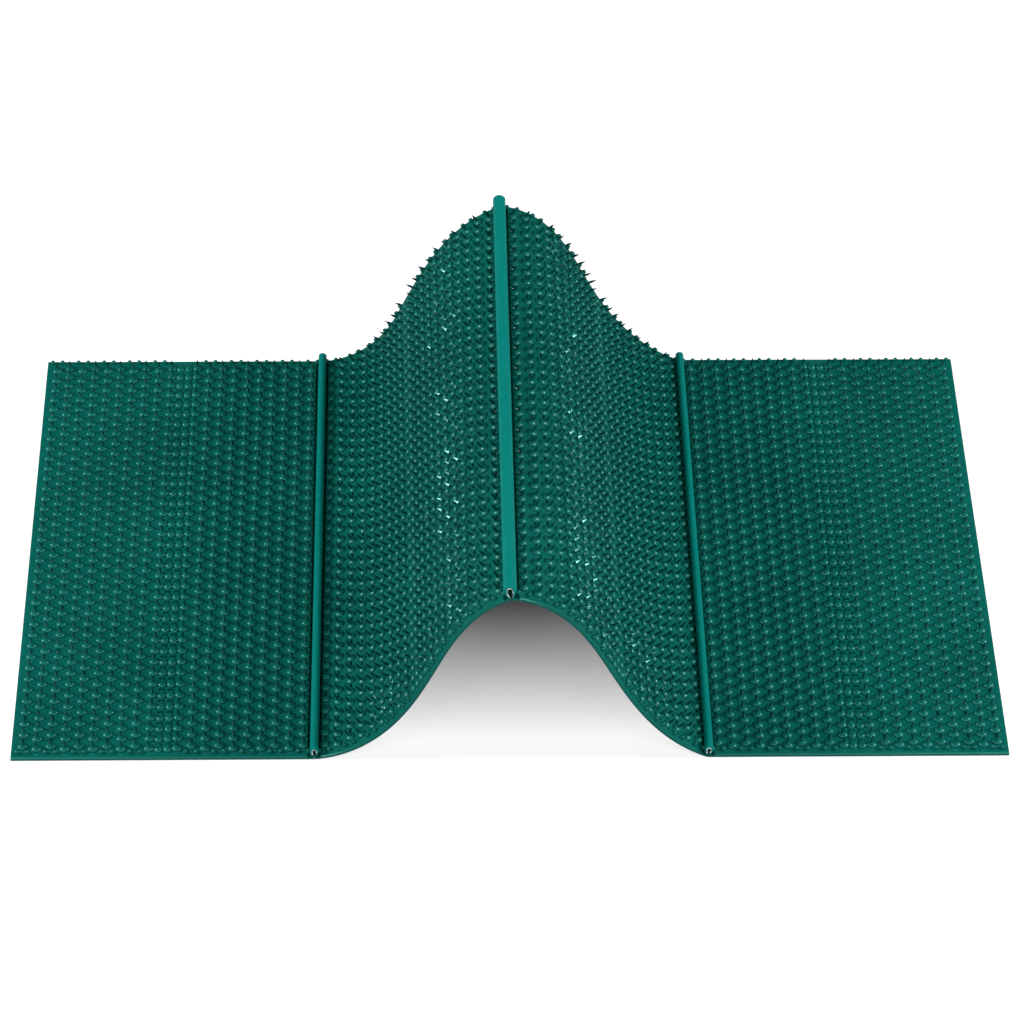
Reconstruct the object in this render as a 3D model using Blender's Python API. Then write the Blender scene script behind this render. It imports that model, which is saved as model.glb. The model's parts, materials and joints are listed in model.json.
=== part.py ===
# Folding needle massage mat: four moulded plastic panels joined in a row by three
# slide-on joint profiles, lying on the floor with its two middle panels arched up
# into a hump. X runs along the row of panels, Y across it (the viewer is at -Y)
# and Z is up. The origin is on the floor at the middle of the whole mat.

import math

import bmesh
import bpy
from mathutils import Matrix, Vector

# Panel sizes, in metres. A length is measured along the sheet from one joint
# line to the next, or to the free edge of an end panel.
PANEL_LENGTH = 0.225
MAT_WIDTH = 0.4587
SHEET = 0.0025

# Needles stand in a field of columns and rows. Each panel has two mirrored halves
# of columns, with a plain band for ribs between them. The counts are what fits.
FIRST_COLUMN = 0.0082
COLUMN_PITCH = 0.01044
HALF_BAND = 0.009
ROW_PITCH = 0.01205
ROW_MARGIN = 0.0055
NEEDLE_HEIGHT = 0.0095
NEEDLE_BASE = 0.004

COLUMN_ROOM = 0.5 * PANEL_LENGTH - HALF_BAND - FIRST_COLUMN
COLUMNS_PER_HALF = int(COLUMN_ROOM / COLUMN_PITCH) + 1
ROWS = int((MAT_WIDTH - 2.0 * ROW_MARGIN) / ROW_PITCH) + 1

# One needle in this many columns and rows is modelled, from this column and row on.
COLUMN_STEP = 2
ROW_STEP = 3
FIRST_NEEDLE_COLUMN = 1
FIRST_NEEDLE_ROW = 2

# Every panel bends behind the first column beside a joint, clear of the profile,
# and is cut into strips behind the columns at these shares of its count. The left
# sloping panel runs nearly straight past its middle, where it has no cut.
LEFT_CUT_SHARES = (0.2, 0.4, 0.8)
RIGHT_CUT_SHARES = (0.2, 0.4, 0.6, 0.8)
END_CUT_SHARE = 0.2
HINGE_GAP = 0.00095

# Slopes of a sloping panel in degrees, from its lower joint to the ridge. The
# steepest slope lies at a share of the panel's length. The right panel's steepest
# slope isn't given, because both panels have to meet at one ridge.
LEFT_FOOT_SLOPE = 4.6
LEFT_STEEPEST_SLOPE = 65.8
LEFT_STEEPEST_AT = 0.61
LEFT_RIDGE_SLOPE = 22.7
RIGHT_FOOT_SLOPE = 23.7
RIGHT_STEEPEST_AT = 0.54
RIGHT_RIDGE_SLOPE = 5.7
SLOPE_RANGE = (50.0, 80.0)
SLOPE_ACCURACY = 1e-9
CURVE_STEPS = 900

# Each panel's margin at a joint has an upright web along its edge, which ends in
# a bead. Two beads stand back to back in the profile's hollow.
FREE_HALF_GAP = 0.00015
WEB = 0.00095
WEB_ROOT_RISE = 0.0003
BEAD = 0.0014
BEAD_HEIGHT = 0.0024
BEAD_CHAMFER = 0.00045
BEAD_SETBACK = 0.006

# Joint profiles: split tubes with a round back, a hollow for the beads and two
# lips that leave a slot for the webs. A side profile holds the beads closely, and
# the ridge profile has room for them to swing.
PROFILE_CLEARANCE = 0.0003
LIP = 0.00115
LIP_HEIGHT = 0.0009
LIP_FLARE = 0.0009
SIDE_FOOT_CLEARANCE = 0.001
SIDE_WALL = 0.00135
SIDE_BEAD_ROOM = 0.00035
SIDE_BACK_CENTRE = -0.00065
RIDGE_FOOT_CLEARANCE = 0.0004
RIDGE_WALL = 0.0019
RIDGE_BEAD_ROOM = 0.00155
RIDGE_BACK_CENTRE = 0.0002
ROUND_STEPS = 10

SLOT = FREE_HALF_GAP + WEB + PROFILE_CLEARANCE
WEB_ROOT = SHEET + WEB_ROOT_RISE
BEAD_FACE = FREE_HALF_GAP + BEAD
BEAD_FOOT = WEB_ROOT + SIDE_FOOT_CLEARANCE + LIP_HEIGHT + LIP_FLARE + PROFILE_CLEARANCE
BEAD_TOP = BEAD_FOOT + BEAD_HEIGHT

# Leans of the profiles in degrees, positive towards +X.
LEFT_LEAN = 0.0
RIDGE_LEAN = -8.5
RIGHT_LEAN = 8.0

PANEL_GREEN = (0.004, 0.120, 0.092)
PROFILE_TEAL = (0.003, 0.195, 0.168)


def clear_scene():
    for old in list(bpy.data.objects):
        bpy.data.objects.remove(old, do_unlink=True)


def plastic(name, colour, roughness):
    material = bpy.data.materials.new(name)
    material.use_nodes = True
    shader = material.node_tree.nodes["Principled BSDF"]
    shader.inputs["Base Color"].default_value = (*colour, 1.0)
    shader.inputs["Roughness"].default_value = roughness
    shader.inputs["Metallic"].default_value = 0.0
    return material


def panel_plastic(name):
    return plastic(name + "_plastic", PANEL_GREEN, 0.35)


def profile_plastic(name):
    return plastic(name + "_plastic", PROFILE_TEAL, 0.3)


# The slope law and the lay of a sloping panel


def slope_at(share, foot, steepest, steepest_at, ridge):
    """Slope in degrees at a share of the panel's length: one smooth rise and fall."""
    if share < steepest_at:
        far = 1.0 - share / steepest_at
        return foot + (steepest - foot) * (1.0 - far * far)
    far = (share - steepest_at) / (1.0 - steepest_at)
    return ridge + (steepest - ridge) * (1.0 - far * far)


def lay_curve(*law):
    """Points (run, rise, slope in radians) of the underside, from foot to ridge."""
    step = PANEL_LENGTH / CURVE_STEPS
    run = rise = 0.0
    points = [(run, rise, math.radians(slope_at(0.0, *law)))]
    for index in range(CURVE_STEPS):
        middle = math.radians(slope_at((index + 0.5) / CURVE_STEPS, *law))
        run += step * math.cos(middle)
        rise += step * math.sin(middle)
        points.append((run, rise, math.radians(slope_at((index + 1) / CURVE_STEPS, *law))))
    return points


def steepest_for_height(height, foot, steepest_at, ridge):
    """Steepest slope at which a panel reaches the given ridge height, by halving."""
    low, high = SLOPE_RANGE
    while high - low > SLOPE_ACCURACY:
        trial = 0.5 * (low + high)
        if lay_curve(foot, trial, steepest_at, ridge)[-1][1] < height:
            low = trial
        else:
            high = trial
    return 0.5 * (low + high)


LEFT_CURVE = lay_curve(LEFT_FOOT_SLOPE, LEFT_STEEPEST_SLOPE, LEFT_STEEPEST_AT, LEFT_RIDGE_SLOPE)
RIDGE_HEIGHT = LEFT_CURVE[-1][1]
RIGHT_STEEPEST_SLOPE = steepest_for_height(
    RIDGE_HEIGHT, RIGHT_FOOT_SLOPE, RIGHT_STEEPEST_AT, RIGHT_RIDGE_SLOPE
)
RIGHT_CURVE = lay_curve(
    RIGHT_FOOT_SLOPE, RIGHT_STEEPEST_SLOPE, RIGHT_STEEPEST_AT, RIGHT_RIDGE_SLOPE
)

LEFT_SPAN = LEFT_CURVE[-1][0]
RIGHT_SPAN = RIGHT_CURVE[-1][0]
HALF_LENGTH = PANEL_LENGTH + 0.5 * (LEFT_SPAN + RIGHT_SPAN)
LEFT_JOINT_X = PANEL_LENGTH - HALF_LENGTH
RIDGE_X = LEFT_JOINT_X + LEFT_SPAN
RIGHT_JOINT_X = HALF_LENGTH - PANEL_LENGTH


def on_curve(curve, along):
    """Run, rise and slope of the underside at a distance along the panel."""
    place = along / PANEL_LENGTH * CURVE_STEPS
    index = min(int(place), CURVE_STEPS - 1)
    part = place - index
    low, high = curve[index], curve[index + 1]
    return tuple(a + (b - a) * part for a, b in zip(low, high))


def left_slope(along, height):
    """(x, z) on the left sloping panel, a height above its underside."""
    run, rise, slope = on_curve(LEFT_CURVE, along)
    return LEFT_JOINT_X + run - height * math.sin(slope), rise + height * math.cos(slope)


def right_slope(along, height):
    run, rise, slope = on_curve(RIGHT_CURVE, along)
    return RIGHT_JOINT_X - run + height * math.sin(slope), rise + height * math.cos(slope)


def left_end(along, height):
    return LEFT_JOINT_X - along, height


def right_end(along, height):
    return RIGHT_JOINT_X + along, height


def left_slope_from_ridge(along, height):
    return left_slope(PANEL_LENGTH - along, height)


def right_slope_from_ridge(along, height):
    return right_slope(PANEL_LENGTH - along, height)


# Where the strips, needles and hinge lines lie

HALF_NEEDLES = [
    FIRST_COLUMN + COLUMN_PITCH * k
    for k in range(FIRST_NEEDLE_COLUMN, COLUMNS_PER_HALF, COLUMN_STEP)
]
NEEDLE_COLUMNS = HALF_NEEDLES + [PANEL_LENGTH - along for along in reversed(HALF_NEEDLES)]
FIRST_ROW_Y = -0.5 * ROW_PITCH * (ROWS - 1)
NEEDLE_ROWS = [FIRST_ROW_Y + ROW_PITCH * k for k in range(FIRST_NEEDLE_ROW, ROWS, ROW_STEP)]


def behind_column(count):
    """Distance along a panel to halfway between a column, counted from 1, and the next."""
    if count > COLUMNS_PER_HALF:
        return PANEL_LENGTH - behind_column(2 * COLUMNS_PER_HALF - count)
    return FIRST_COLUMN + COLUMN_PITCH * (count - 0.5)


def cut_at(share):
    return behind_column(round(share * 2 * COLUMNS_PER_HALF))


MARGIN_HINGE = behind_column(1)
FAR_MARGIN_HINGE = PANEL_LENGTH - MARGIN_HINGE
LEFT_HINGES = [MARGIN_HINGE] + [cut_at(share) for share in LEFT_CUT_SHARES] + [FAR_MARGIN_HINGE]
RIGHT_HINGES = [MARGIN_HINGE] + [cut_at(share) for share in RIGHT_CUT_SHARES] + [FAR_MARGIN_HINGE]
END_HINGES = [MARGIN_HINGE, cut_at(END_CUT_SHARE)]


def hinge_point(place, along):
    """Hinge lines run across the mat through the middle of the sheet."""
    x, z = place(along, 0.5 * SHEET)
    return Vector((x, 0.0, z))


# Building and placing solids


def pivot(name, world, parent=None):
    """Empty on a joint's axis, which carries the pieces that turn about it."""
    empty = bpy.data.objects.new(name, None)
    empty.empty_display_size = 0.01
    bpy.context.collection.objects.link(empty)
    empty["world"] = tuple(world)
    if parent is None:
        empty.location = world
    else:
        empty.parent = parent
        empty.location = Vector(world) - Vector(parent["world"])
    return empty


def add_piece(name, bm, material, carrier, smooth_angle):
    """Close a bmesh made in world places into an object with its origin on its pivot."""
    bmesh.ops.recalc_face_normals(bm, faces=bm.faces)
    bmesh.ops.translate(bm, verts=bm.verts, vec=-Vector(carrier["world"]))
    mesh = bpy.data.meshes.new(name)
    bm.to_mesh(mesh)
    bm.free()
    mesh.materials.append(material)
    mesh.shade_smooth()
    mesh.set_sharp_from_angle(angle=math.radians(smooth_angle))
    piece = bpy.data.objects.new(name, mesh)
    bpy.context.collection.objects.link(piece)
    piece.parent = carrier
    return piece


def inside(values, low, high):
    return [value for value in values if low < value < high]


def needle_strip(name, place, start, end, carrier):
    """Stretch of a panel with its needles: one closed body, needles fused to the sheet."""
    reach = 0.5 * NEEDLE_BASE
    columns = inside(NEEDLE_COLUMNS, start, end)
    along_lines = [start]
    for column in columns:
        along_lines += [column - reach, column + reach]
    along_lines.append(end)
    cross_lines = [-0.5 * MAT_WIDTH]
    for row in NEEDLE_ROWS:
        cross_lines += [row - reach, row + reach]
    cross_lines.append(0.5 * MAT_WIDTH)

    bm = bmesh.new()
    top = []
    front = []
    back = []
    for along in along_lines:
        x, z = place(along, SHEET)
        top.append([bm.verts.new((x, y, z)) for y in cross_lines])
        x, z = place(along, 0.0)
        front.append(bm.verts.new((x, cross_lines[0], z)))
        back.append(bm.verts.new((x, cross_lines[-1], z)))

    needle_feet = []
    for i in range(len(along_lines) - 1):
        for j in range(len(cross_lines) - 1):
            cell = bm.faces.new((top[i][j], top[i + 1][j], top[i + 1][j + 1], top[i][j + 1]))
            if i % 2 == 1 and j % 2 == 1:
                needle_feet.append(cell)
        bm.faces.new((front[i], back[i], back[i + 1], front[i + 1]))
        bm.faces.new((front[i], front[i + 1], top[i + 1][0], top[i][0]))
        bm.faces.new((back[i + 1], back[i], top[i][-1], top[i + 1][-1]))
    bm.faces.new([front[0]] + top[0] + [back[0]])
    bm.faces.new([front[-1]] + top[-1] + [back[-1]])
    bmesh.ops.recalc_face_normals(bm, faces=bm.faces)
    bmesh.ops.poke(bm, faces=needle_feet, offset=NEEDLE_HEIGHT)
    return add_piece(name, bm, panel_plastic(name), carrier, 30.0)


class Joint:
    """Place and lean of one joint line, with the profile's own across and up axes."""

    def __init__(self, x, z, lean):
        self.origin = Vector((x, 0.0, z))
        self.turn = Matrix.Rotation(math.radians(lean), 3, "Y")

    def point(self, across, up, y=0.0):
        return self.origin + self.turn @ Vector((across, 0.0, up)) + Vector((0.0, y, 0.0))

    def across(self, world):
        return (world - self.origin).dot(self.turn.col[0])


def bead_edge(name, place, joint, side, carrier):
    """Margin of a panel up to its first hinge, with the web and bead in the profile."""
    margin = MARGIN_HINGE - 0.5 * HINGE_GAP
    stations = [
        -0.5 * MAT_WIDTH,
        -0.5 * MAT_WIDTH + BEAD_SETBACK,
        0.5 * MAT_WIDTH - BEAD_SETBACK,
        0.5 * MAT_WIDTH,
    ]
    bm = bmesh.new()
    loops = []
    for y in stations:
        section = []
        for along, height in ((FREE_HALF_GAP, 0.0), (margin, 0.0), (margin, SHEET)):
            x, z = place(along, height)
            section.append(bm.verts.new((x, y, z)))
        for across in (FREE_HALF_GAP + WEB, FREE_HALF_GAP):
            section.append(bm.verts.new(joint.point(side * across, WEB_ROOT, y)))
        loops.append(section)

    web_foot = None
    for station, (near, far) in enumerate(zip(loops, loops[1:])):
        for k in range(len(near)):
            after = (k + 1) % len(near)
            face = bm.faces.new((near[k], near[after], far[after], far[k]))
            if station == 1 and k == 3:
                web_foot = face
    bm.faces.new(loops[0])
    bm.faces.new(loops[-1])
    bmesh.ops.recalc_face_normals(bm, faces=bm.faces)

    levels = (
        (WEB, BEAD_FOOT),
        (BEAD, BEAD_FOOT + BEAD_CHAMFER),
        (BEAD, BEAD_TOP - BEAD_CHAMFER),
        (BEAD - BEAD_CHAMFER, BEAD_TOP),
    )
    for thickness, up in levels:
        raised = bmesh.ops.extrude_face_region(bm, geom=[web_foot])["geom"]
        bm.faces.remove(web_foot)
        web_foot = next(part for part in raised if isinstance(part, bmesh.types.BMFace))
        ordered = sorted(web_foot.verts, key=lambda vert: side * joint.across(vert.co))
        for number, vert in enumerate(ordered):
            across = FREE_HALF_GAP if number < 2 else FREE_HALF_GAP + thickness
            vert.co = joint.point(side * across, up, vert.co.y)
    return add_piece(name, bm, panel_plastic(name), carrier, 30.0)


def profile(name, joint, bead_room, wall, back_centre, foot_clearance, carrier):
    """Split tube: round back, hollow for the beads, and two lips beside the webs."""
    inner = BEAD_FACE + bead_room
    outer = inner + wall
    centre = BEAD_TOP + back_centre
    foot = WEB_ROOT + foot_clearance
    outline = []
    for k in range(ROUND_STEPS + 1):
        angle = math.pi * k / ROUND_STEPS
        outline.append((outer * math.cos(angle), centre + outer * math.sin(angle)))
    outline += [(-SLOT - LIP, foot), (-SLOT, foot), (-SLOT, foot + LIP_HEIGHT)]
    outline.append((-inner, foot + LIP_HEIGHT + LIP_FLARE))
    for k in range(ROUND_STEPS, -1, -1):
        angle = math.pi * k / ROUND_STEPS
        outline.append((inner * math.cos(angle), centre + inner * math.sin(angle)))
    outline.append((inner, foot + LIP_HEIGHT + LIP_FLARE))
    outline += [(SLOT, foot + LIP_HEIGHT), (SLOT, foot), (SLOT + LIP, foot)]

    bm = bmesh.new()
    section = bm.faces.new(
        [bm.verts.new(joint.point(across, up, -0.5 * MAT_WIDTH)) for across, up in outline]
    )
    drawn = bmesh.ops.extrude_face_region(bm, geom=[section])["geom"]
    far_verts = [part for part in drawn if isinstance(part, bmesh.types.BMVert)]
    bmesh.ops.translate(bm, verts=far_verts, vec=(0.0, MAT_WIDTH, 0.0))
    return add_piece(name, bm, profile_plastic(name), carrier, 35.0)


def slope_strips(side, place, hinges, pivots):
    """The strips of a sloping panel, numbered from its foot to the ridge."""
    for number, (low, high) in enumerate(zip(hinges, hinges[1:]), start=1):
        needle_strip(
            f"{side}_slope_panel_strip_{number}",
            place,
            low + 0.5 * HINGE_GAP,
            high - 0.5 * HINGE_GAP,
            pivots[number - 1],
        )


def end_panel(side, place, pivots):
    """An end panel: the strip beside its joint, and the flat rest of the panel."""
    near, far = END_HINGES
    strip_start = near + 0.5 * HINGE_GAP
    strip_end = far - 0.5 * HINGE_GAP
    needle_strip(f"{side}_end_panel_hinge_strip", place, strip_start, strip_end, pivots[0])
    needle_strip(f"{side}_end_panel", place, far + 0.5 * HINGE_GAP, PANEL_LENGTH, pivots[1])


def build():
    clear_scene()
    left_joint = Joint(LEFT_JOINT_X, 0.0, LEFT_LEAN)
    ridge_joint = Joint(RIDGE_X, RIDGE_HEIGHT, RIDGE_LEAN)
    right_joint = Joint(RIGHT_JOINT_X, 0.0, RIGHT_LEAN)

    # Pivots, from the left joint over the hump to the right end panel
    root = pivot("pivot_left_joint", left_joint.origin)
    left_pivots = []
    carrier = root
    for number, along in enumerate(LEFT_HINGES[:-1], start=1):
        carrier = pivot(f"pivot_left_slope_{number}", hinge_point(left_slope, along), carrier)
        left_pivots.append(carrier)
    ridge = pivot("pivot_ridge_joint", hinge_point(left_slope, FAR_MARGIN_HINGE), carrier)
    right_pivots = []
    carrier = ridge
    for number, along in reversed(list(enumerate(RIGHT_HINGES[1:], start=1))):
        carrier = pivot(f"pivot_right_slope_{number}", hinge_point(right_slope, along), carrier)
        right_pivots.insert(0, carrier)
    right_root = pivot("pivot_right_joint", hinge_point(right_slope, MARGIN_HINGE), carrier)
    end_pivots = {}
    for side, place, holder in (("left", left_end, root), ("right", right_end, right_root)):
        near = pivot(f"pivot_{side}_end_fold", hinge_point(place, END_HINGES[0]), holder)
        far = pivot(f"pivot_{side}_end_bend", hinge_point(place, END_HINGES[1]), near)
        end_pivots[side] = (near, far)

    side_sizes = (SIDE_BEAD_ROOM, SIDE_WALL, SIDE_BACK_CENTRE, SIDE_FOOT_CLEARANCE)
    ridge_sizes = (RIDGE_BEAD_ROOM, RIDGE_WALL, RIDGE_BACK_CENTRE, RIDGE_FOOT_CLEARANCE)
    profile("left_joint_profile", left_joint, *side_sizes, root)
    profile("ridge_joint_profile", ridge_joint, *ridge_sizes, ridge)
    profile("right_joint_profile", right_joint, *side_sizes, right_root)

    left_top, right_top = left_slope_from_ridge, right_slope_from_ridge
    bead_edge("left_end_panel_bead_edge", left_end, left_joint, -1, root)
    bead_edge("left_slope_panel_foot_bead_edge", left_slope, left_joint, 1, root)
    bead_edge("left_slope_panel_ridge_bead_edge", left_top, ridge_joint, -1, ridge)
    bead_edge("right_slope_panel_ridge_bead_edge", right_top, ridge_joint, 1, ridge)
    bead_edge("right_slope_panel_foot_bead_edge", right_slope, right_joint, -1, right_root)
    bead_edge("right_end_panel_bead_edge", right_end, right_joint, 1, right_root)

    slope_strips("left", left_slope, LEFT_HINGES, left_pivots)
    slope_strips("right", right_slope, RIGHT_HINGES, right_pivots)
    end_panel("left", left_end, end_pivots["left"])
    end_panel("right", right_end, end_pivots["right"])


build()
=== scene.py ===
import json
import math

import bmesh
import bpy
from mathutils import Matrix, Vector

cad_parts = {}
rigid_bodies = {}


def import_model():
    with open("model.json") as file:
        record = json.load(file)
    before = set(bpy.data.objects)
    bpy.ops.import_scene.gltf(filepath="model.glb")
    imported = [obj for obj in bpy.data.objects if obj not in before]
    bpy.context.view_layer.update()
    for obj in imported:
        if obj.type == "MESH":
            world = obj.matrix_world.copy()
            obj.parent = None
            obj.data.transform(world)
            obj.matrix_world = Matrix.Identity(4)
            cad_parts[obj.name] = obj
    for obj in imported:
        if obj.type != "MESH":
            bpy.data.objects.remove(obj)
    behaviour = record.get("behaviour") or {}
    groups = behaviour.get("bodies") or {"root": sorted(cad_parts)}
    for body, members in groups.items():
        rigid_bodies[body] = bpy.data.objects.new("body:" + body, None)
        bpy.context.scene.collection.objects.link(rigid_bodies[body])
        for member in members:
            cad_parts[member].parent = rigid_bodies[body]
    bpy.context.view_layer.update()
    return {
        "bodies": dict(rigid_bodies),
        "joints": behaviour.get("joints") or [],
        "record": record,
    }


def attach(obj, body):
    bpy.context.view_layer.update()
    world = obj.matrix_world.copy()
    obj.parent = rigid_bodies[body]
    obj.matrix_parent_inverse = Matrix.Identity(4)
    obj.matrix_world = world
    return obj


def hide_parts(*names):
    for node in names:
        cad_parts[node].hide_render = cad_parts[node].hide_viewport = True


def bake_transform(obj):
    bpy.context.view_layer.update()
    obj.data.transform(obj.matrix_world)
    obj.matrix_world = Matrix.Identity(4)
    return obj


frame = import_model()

# The studio: the mat lies on a plain white floor, with a shadow painted on it under the
# hump, seen through a long lens from the front and above. On each side hang a soft lamp
# and, farther in front, a narrow strip lamp, whose light glints on the needles.

CAMERA_PLACE = (-0.0688, -2.4738, 2.2536)
CAMERA_YAW = math.radians(1.70)
CAMERA_DOWN = math.radians(41.81)
CAMERA_ROLL = math.radians(0.89)
LENS = 150.4
FAR_CLIP = 100.0
SIDE_LAMP = ("lamp_side", (2.3, 0.0, 1.5), (0.1, 0.0, 0.05), (0.8, 0.8), 52.0)
STRIP_LAMP = ("lamp_front", (1.5, -2.7, 2.5), (0.0, 0.0, 0.05), (1.2, 0.14), 34.0)
FLOOR_SIZE = 40.0
FLOOR_HEIGHT = -0.0006
FLOOR_GLOW = 0.55
FLOOR_WHITE = 0.8
FAR_FLOOR = (0.8, 2.2)
# Painted shadow on the floor under the hump, in its colour and its glow; glossy rays see the
# floor in this grey everywhere.
HUMP_SHADE = 0.14
HUMP_SIDES = (0.135, 0.15)
HUMP_ENDS = (0.2, 0.232)
HUMP_DEPTHS = (0.035, 0.22)
HUMP_FADE = 1.45
AMBIENT = 0.19
MIRRORED_AIR = 0.04


def link(thing):
    bpy.context.scene.collection.objects.link(thing)
    return thing


def place_camera():
    camera = link(bpy.data.objects.new("camera", bpy.data.cameras.new("camera")))
    camera.data.lens = LENS
    camera.data.clip_end = FAR_CLIP
    across = Vector((math.cos(CAMERA_YAW), -math.sin(CAMERA_YAW), 0.0))
    ahead = Vector((math.sin(CAMERA_YAW), math.cos(CAMERA_YAW), 0.0)) * math.cos(CAMERA_DOWN)
    ahead.z = -math.sin(CAMERA_DOWN)
    up = across.cross(ahead)
    right = across * math.cos(CAMERA_ROLL) + up * math.sin(CAMERA_ROLL)
    top = up * math.cos(CAMERA_ROLL) - across * math.sin(CAMERA_ROLL)
    turned = Matrix((right, top, -ahead)).transposed().to_4x4()
    camera.matrix_world = Matrix.Translation(CAMERA_PLACE) @ turned
    bpy.context.scene.camera = camera


def lamp(name, place, aim, size, power):
    light = bpy.data.lights.new(name, "AREA")
    light.shape = "RECTANGLE"
    light.size, light.size_y = size
    light.energy = power
    thing = link(bpy.data.objects.new(name, light))
    thing.location = place
    thing.rotation_euler = (Vector(aim) - Vector(place)).to_track_quat("-Z", "Y").to_euler()


def ranged(tree, source, low, high, least, most):
    """Turns the range from low to high into the range from least to most."""
    node = tree.nodes.new("ShaderNodeMapRange")
    for socket, value in zip(node.inputs[1:5], (low, high, least, most)):
        socket.default_value = value
    tree.links.new(source, node.inputs[0])
    return node.outputs[0]


def rising(tree, source, low, high):
    """0 up to one distance from the middle of the floor, 1 beyond the other."""
    size = tree.nodes.new("ShaderNodeMath")
    size.operation = "ABSOLUTE"
    tree.links.new(source, size.inputs[0])
    return ranged(tree, size.outputs[0], low, high, 0.0, 1.0)


def white_floor():
    """White paper with a painted shadow: dark grey in colour and glow under the middle of the
    hump; glossy rays see that grey everywhere.
    """
    bpy.ops.mesh.primitive_plane_add(size=FLOOR_SIZE, location=(0.0, 0.0, FLOOR_HEIGHT))
    floor = bpy.context.object
    floor.name = "studio_floor"
    material = bpy.data.materials.new("studio_floor_white")
    material.use_nodes = True
    tree = material.node_tree
    nodes, links = tree.nodes, tree.links
    nodes.clear()

    def mixed(factor, low, high):
        """Mixes two numbers, each a plain value or a socket."""
        node = nodes.new("ShaderNodeMix")
        for number, value in ((0, factor), (2, low), (3, high)):
            socket = node.inputs[number]
            if isinstance(value, bpy.types.NodeSocket):
                links.new(value, socket)
            else:
                socket.default_value = value
        return node.outputs[0]

    place = nodes.new("ShaderNodeTexCoord")
    parts = nodes.new("ShaderNodeSeparateXYZ")
    links.new(place.outputs["Object"], parts.inputs[0])
    beside = rising(tree, parts.outputs["X"], *HUMP_SIDES)
    before = rising(tree, parts.outputs["Y"], *HUMP_ENDS)
    hump_shadow_ramp = nodes.new("ShaderNodeMath")
    hump_shadow_ramp.operation = "POWER"
    links.new(rising(tree, parts.outputs["Y"], *HUMP_DEPTHS), hump_shadow_ramp.inputs[0])
    hump_shadow_ramp.inputs[1].default_value = HUMP_FADE
    distance = nodes.new("ShaderNodeVectorMath")
    distance.operation = "LENGTH"
    links.new(place.outputs["Object"], distance.inputs[0])
    far = rising(tree, distance.outputs["Value"], *FAR_FLOOR)
    ray = nodes.new("ShaderNodeLightPath")
    # Painted shadow: under the hump the floor turns dark grey and its glow fades deeper in; in
    # glossy rays the floor is that grey everywhere.
    outside = mixed(beside, before, 1.0)
    dulled = mixed(ray.outputs["Is Glossy Ray"], outside, 0.0)
    grey = mixed(dulled, HUMP_SHADE, FLOOR_WHITE)
    light = mixed(outside, hump_shadow_ramp.outputs[0], mixed(far, FLOOR_GLOW, 1.0))
    seen = mixed(ray.outputs["Is Camera Ray"], 0.0, light)

    matte = nodes.new("ShaderNodeBsdfDiffuse")
    links.new(grey, matte.inputs["Color"])
    glow = nodes.new("ShaderNodeEmission")
    links.new(seen, glow.inputs["Strength"])
    both = nodes.new("ShaderNodeAddShader")
    out = nodes.new("ShaderNodeOutputMaterial")
    links.new(matte.outputs[0], both.inputs[0])
    links.new(glow.outputs[0], both.inputs[1])
    links.new(both.outputs[0], out.inputs["Surface"])
    floor.data.materials.append(material)


def pale_world():
    """White where it is seen itself, dim as light on the mat."""
    world = bpy.data.worlds.new("studio_air")
    bpy.context.scene.world = world
    world.use_nodes = True
    nodes, links = world.node_tree.nodes, world.node_tree.links
    nodes.clear()
    dim = nodes.new("ShaderNodeBackground")
    mirrored = nodes.new("ShaderNodeMath")
    mirrored.operation = "MULTIPLY_ADD"
    mirrored.inputs[1].default_value = MIRRORED_AIR - AMBIENT
    mirrored.inputs[2].default_value = AMBIENT
    white = nodes.new("ShaderNodeBackground")
    ray = nodes.new("ShaderNodeLightPath")
    seen = nodes.new("ShaderNodeMath")
    seen.operation = "MAXIMUM"
    mixed = nodes.new("ShaderNodeMixShader")
    out = nodes.new("ShaderNodeOutputWorld")
    links.new(ray.outputs["Is Glossy Ray"], mirrored.inputs[0])
    links.new(mirrored.outputs[0], dim.inputs["Strength"])
    links.new(ray.outputs["Is Camera Ray"], seen.inputs[0])
    links.new(ray.outputs["Is Transmission Ray"], seen.inputs[1])
    links.new(seen.outputs[0], mixed.inputs[0])
    links.new(dim.outputs[0], mixed.inputs[1])
    links.new(white.outputs[0], mixed.inputs[2])
    links.new(mixed.outputs[0], out.inputs["Surface"])


bpy.context.scene.view_settings.view_transform = "Standard"
place_camera()
for side in (-1.0, 1.0):
    for name, place, aim, size, power in (SIDE_LAMP, STRIP_LAMP):
        lamp(name, (side * place[0], *place[1:]), (side * aim[0], *aim[1:]), size, power)
white_floor()
pale_world()

# The panels: each is one moulding of green polyethylene, a flexible sheet with rows of
# low domes, a pointed needle on each, drain slots, and a band of pillow ribs across the
# middle. A beaded web stands along each edge that a joint profile holds.

PANEL_LENGTH = 0.225
MAT_WIDTH = 0.4587
SHEET = 0.0025
FREE_HALF_GAP = 0.00015
EDGE_ROUND = 0.0007

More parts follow.
